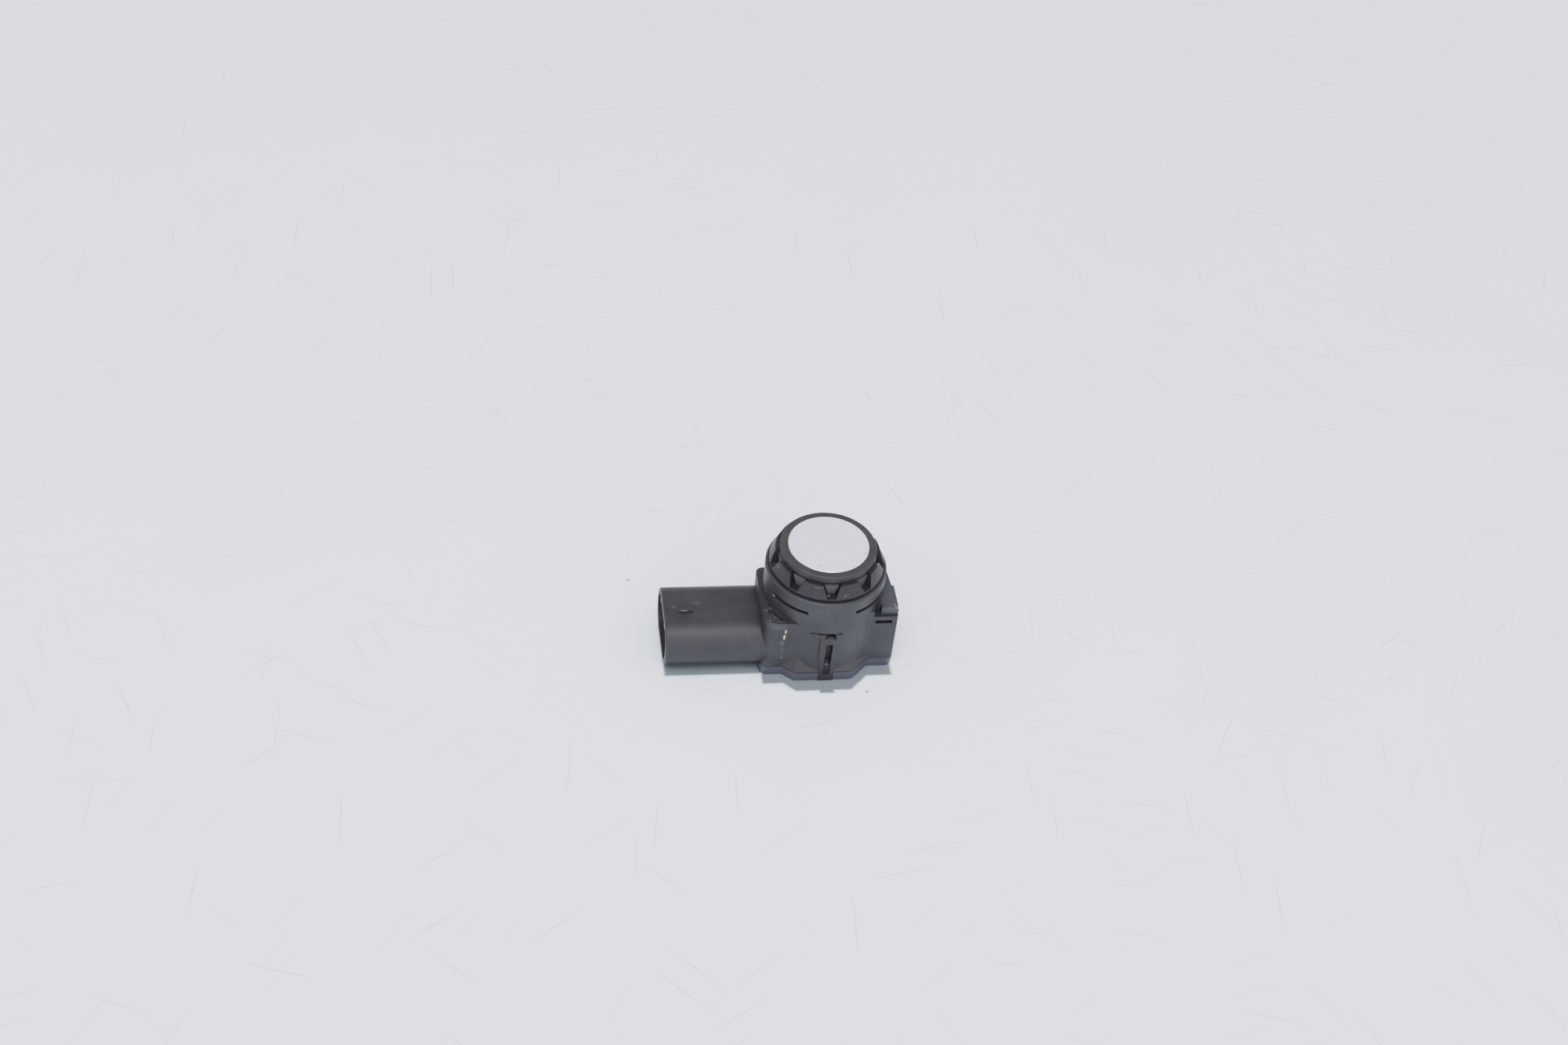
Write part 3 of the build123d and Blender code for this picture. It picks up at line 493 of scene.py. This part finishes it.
# %% Inner finishes
inner_finishes = {
    # lead zirconate ceramic with a fired silver face: dull yellow grey, matt
    "piezo_disc": ("fired_ceramic", "#b8b09a", "#cbc3ab", 0.6, 0.0, 0.4),
    # wool felt: dark and very rough
    "damping_pad": ("wool_felt", "#3a3a3d", "#56565a", 0.95, 0.0, 0.25),
    # poured silicone: brown grey, soft sheen
    "cup_plug": ("poured_silicone", "#4d4541", "#5c534e", 0.55, 0.0, 1.5),
    # bare copper wire
    "signal_lead": ("lead_copper", "#c98f6b", "#dca684", 0.35, 1.0, 0.3),
    "ground_lead": ("lead_copper", "#c98f6b", "#dca684", 0.35, 1.0, 0.3),
    # glass and epoxy board under green solder resist: shiny, faintly uneven
    "circuit_board": ("solder_resist", "#14401f", "#1d5a2c", 0.3, 0.0, 0.5),
    # epoxy moulding compound: near black and matt
    "driver_chip": ("chip_epoxy", "#232325", "#2f2f31", 0.6, 0.0, 0.3),
    # pressed and fired ferrite: grey black, granular
    "transformer_core": ("fired_ferrite", "#39393b", "#4d4d50", 0.7, 0.0, 0.2),
    # enamelled copper wire: dark copper under clear varnish
    "transformer_winding": ("enamelled_wire", "#8a3f1e", "#b15a2e", 0.3, 1.0, 0.2),
    # tantalum capacitor's ochre epoxy
    "filter_capacitor": ("ochre_epoxy", "#a9792b", "#bf8c36", 0.5, 0.0, 0.6),
    # nickel silver can: soft satin
    "resonator": ("nickel_can", "#bdbbb4", "#cfcdc6", 0.32, 1.0, 0.25),
    # barium titanate: beige
    "ceramic_capacitors": ("titanate_ceramic", "#a58b6b", "#b89d7c", 0.55, 0.0, 0.2),
    # glazed thick film: black
    "resistors": ("thick_film", "#1f2022", "#2b2c2f", 0.35, 0.0, 0.15),
}
inner_bump = {"Strength": 0.2, "Distance": 0.00005}
made = {}
for node_name, (finish, dark, light, rough, metal, pattern_mm) in inner_finishes.items():
    if finish not in made:
        made[finish], tree, shader, mm = start_material(finish, roughness=rough, metallic=metal)
        colour, pattern = mottled(tree, mm, pattern_mm, dark, light, detail=3.0)
        tree.links.new(colour, shader.inputs["Base Color"])
        surface = add_node(tree, "Bump", {"Height": pattern, **inner_bump})
        tree.links.new(surface.outputs[0], shader.inputs["Normal"])
    dress(made[finish], node_name)

# %% [markdown]
# ## Table
# The sensor stands on a pale, faintly blue laminate. A thick board would do as
# well, but only its top is seen, so a single square is enough. It lies a hair below
# the sensor, so that the two faces don't flicker through each other.

# %% Table top
table_half_m = 2.0
table_drop_m = 0.00002
table_mesh = bpy.data.meshes.new("table")
table_shape = bmesh.new()
bmesh.ops.create_grid(table_shape, x_segments=1, y_segments=1, size=table_half_m)
bmesh.ops.translate(table_shape, vec=(0, 0, -table_drop_m), verts=table_shape.verts)
table_shape.to_mesh(table_mesh)
table_shape.free()
table = bpy.data.objects.new("table", table_mesh)
bpy.context.collection.objects.link(table)
laminate, tree, shader, mm = start_material("pale_laminate", roughness=0.55)
table_colour, _ = mottled(tree, mm, 40.0, "#e8eff6", "#eef4f9", detail=3.0)
print("table across, in m:", 2 * table_half_m)

# %% [markdown]
# ## Scratches and crumbs on the table
# A used table has hair scratches in every direction. Each could be a thin curve of
# its own, but there are hundreds. Here they are round specks in coordinates that are
# squeezed along one direction, which draws each speck out to a hair, and a loop lays
# them in seven directions. Slow noise bends them a little.

# %% Scratches and crumbs
bent = ragged(tree, mm, 30.0, 2.0)
squeeze = 0.02
row_mm = 3.5
shift_mm = 170.0
hair_mm = 0.16
hair_edge = {"From Max": hair_mm / row_mm, "To Min": 1.0, "To Max": 0.0}
directions = (0.35, 0.8, 1.2, 1.65, 2.1, 2.5, 2.95)
for direction in directions:
    shift = (shift_mm * direction, 0, 0)
    along = add_node(tree, "Mapping", {"Vector": bent, "Location": shift, "Rotation": (0, 0, direction)})
    squeezed = add_node(tree, "Mapping", {"Vector": along.outputs[0], "Scale": (squeeze, 1.0, 1.0)})
    cells = add_node(
        tree, "TexVoronoi", {"Vector": squeezed.outputs[0], "Scale": 1 / row_mm}, voronoi_dimensions="2D"
    )
    near = add_node(tree, "MapRange", {"Value": cells.outputs["Distance"], **hair_edge})
    own = add_node(tree, "SeparateColor", {0: cells.outputs["Color"]})
    depth = add_node(tree, "MapRange", {"Value": own.outputs[0], "From Min": 0.35, "To Max": 0.8})
    hair = add_node(tree, "Math", {0: near.outputs[0], 1: depth.outputs[0]}, operation="MULTIPLY")
    mix = add_node(
        tree, "Mix", {0: hair.outputs[0], 6: table_colour, 7: linear("#9aa5b0")}, data_type="RGBA"
    )
    table_colour = mix.outputs[2]
print("scratches up to", round(2 * hair_mm / squeeze), "mm long in", len(directions), "directions")

crumbs = [
    ((7.84, -14.82, 0), (0.3, 0.22, 1.0), 0.9, "#4c4f54"),
    ((-35.3, 17.15, 0), (0.45, 0.25, 1.0), 0.8, "#5a5d62"),
]
table_colour = lay_marks(tree, ragged(tree, mm, 0.4, 0.08), table_colour, crumbs)

# %% [markdown]
# ## Shade on the core
# The table top is a clear sheet over a white core. A slab of real glass would show
# what that does, but it renders slowly and noisily, so the shade that the sensor
# throws on the core is painted, moved towards the camera, where it is seen through
# the sheet. Its outline is the sensor's own, put together from upright boxes: a box
# and a turned box cross to an octagon, and the others join it.

# %% Shade
def outside_box(tree, mm, centre, half, turn=0.0):
    """How far a place on the table lies outside an upright box, in millimetres."""
    moved = add_node(tree, "VectorMath", {0: mm, 1: (*centre, 0)}, operation="SUBTRACT")
    turned = add_node(tree, "VectorRotate", {"Vector": moved.outputs[0], "Angle": turn})
    folded = add_node(tree, "VectorMath", {0: turned.outputs[0]}, operation="ABSOLUTE")
    beyond = add_node(tree, "VectorMath", {0: folded.outputs[0], 1: (*half, 0)}, operation="SUBTRACT")
    sides = add_node(tree, "SeparateXYZ", {0: beyond.outputs[0]})
    further = add_node(tree, "Math", {0: sides.outputs[0], 1: sides.outputs[1]}, operation="MAXIMUM")
    return further.outputs[0]


shade_x = -0.1
shade_y = -2.75
front_flat = outside_box(tree, mm, (0.65 + shade_x, shade_y), (12.9, 11.55))
front_corners = outside_box(tree, mm, (-0.35 + shade_x, shade_y), (11.95, 11.95), turn=pi / 4)
octagon = add_node(tree, "Math", {0: front_flat, 1: front_corners}, operation="MAXIMUM")

joined_boxes = [
    # the cover's left block, then its right one
    ((-6.0 + shade_x, shade_y), (5.9, 9.4)),
    ((6.8 + shade_x, shade_y), (6.7, 8.0)),
    # the plug tube, and the stub under the tongue
    ((-21.0, -2.4), (9.4, 7.0)),
    ((0.3 + shade_x, -12.6), (1.55, 2.4)),
]
shade = octagon
for centre, half in joined_boxes:
    box = outside_box(tree, mm, centre, half)
    shade = add_node(tree, "Math", {0: shade.outputs[0], 1: box}, operation="MINIMUM")
shade_edge = {"From Min": -0.35, "From Max": 0.25, "To Min": 0.93, "To Max": 0.0}
shaded = add_node(tree, "MapRange", {"Value": shade.outputs[0], **shade_edge})
mix = add_node(tree, "Mix", {0: shaded.outputs[0], 6: table_colour, 7: linear("#454a51")}, data_type="RGBA")
tree.links.new(mix.outputs[2], shader.inputs["Base Color"])
table_mesh.materials.append(laminate)
table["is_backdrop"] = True
print("shade moved towards the camera by", -shade_y, "mm")

# %% [markdown]
# ## Light
# The sensor's upright walls are a little lighter than its upward faces, because the
# light comes mostly from the camera's side. A sky texture would bring colour of its
# own; a world that fades from a bright front to a dimmer back, and one broad soft
# lamp in front and above, are enough.

# %% Room
front_strength = 3.5
back_strength = 1.25
world = bpy.data.worlds.new("soft_room")
world.use_nodes = True
room = world.node_tree
view = add_node(room, "TexCoord")
axis = add_node(room, "SeparateXYZ", {0: view.outputs["Generated"]})
fade_span = {"From Min": -0.9, "From Max": 0.7, "To Min": front_strength, "To Max": back_strength}
fade = add_node(room, "MapRange", {"Value": axis.outputs["Y"], **fade_span})
room.nodes["Background"].inputs["Color"].default_value = linear("#f1f4f8")
room.links.new(fade.outputs[0], room.nodes["Background"].inputs["Strength"])
bpy.context.scene.world = world
print("the room is", front_strength / back_strength, "times as bright in front as behind")

# %% Lamp
lamp_place = Vector((-0.1, -0.3, 0.8))
lamp_aim = Vector((0, 0, 0.01))
lamp_data = bpy.data.lights.new("front_lamp", "AREA")
lamp_data.shape = "RECTANGLE"
lamp_data.size = 0.5
lamp_data.size_y = 0.4
lamp_data.energy = 8.0
lamp_data.color = linear("#eaf1fb")[:3]
lamp = bpy.data.objects.new("front_lamp", lamp_data)
lamp.location = lamp_place
lamp.rotation_euler = (lamp_aim - lamp_place).to_track_quat("-Z", "Y").to_euler()
bpy.context.collection.objects.link(lamp)
print("lamp to sensor, in mm:", round(1000 * (lamp_aim - lamp_place).length))

# %% [markdown]
# ## Finish
# The dressed sensor must not have grown, so the box of the solids and the box of
# what is shown now are set side by side, corner by corner.

# %% Finish
shown_bounds = [list(corner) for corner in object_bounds()]
corner_pairs = zip(sum(solid_bounds, []), sum(shown_bounds, []))
print("grown by, in mm:", [round(1000 * (after - before), 3) for before, after in corner_pairs])
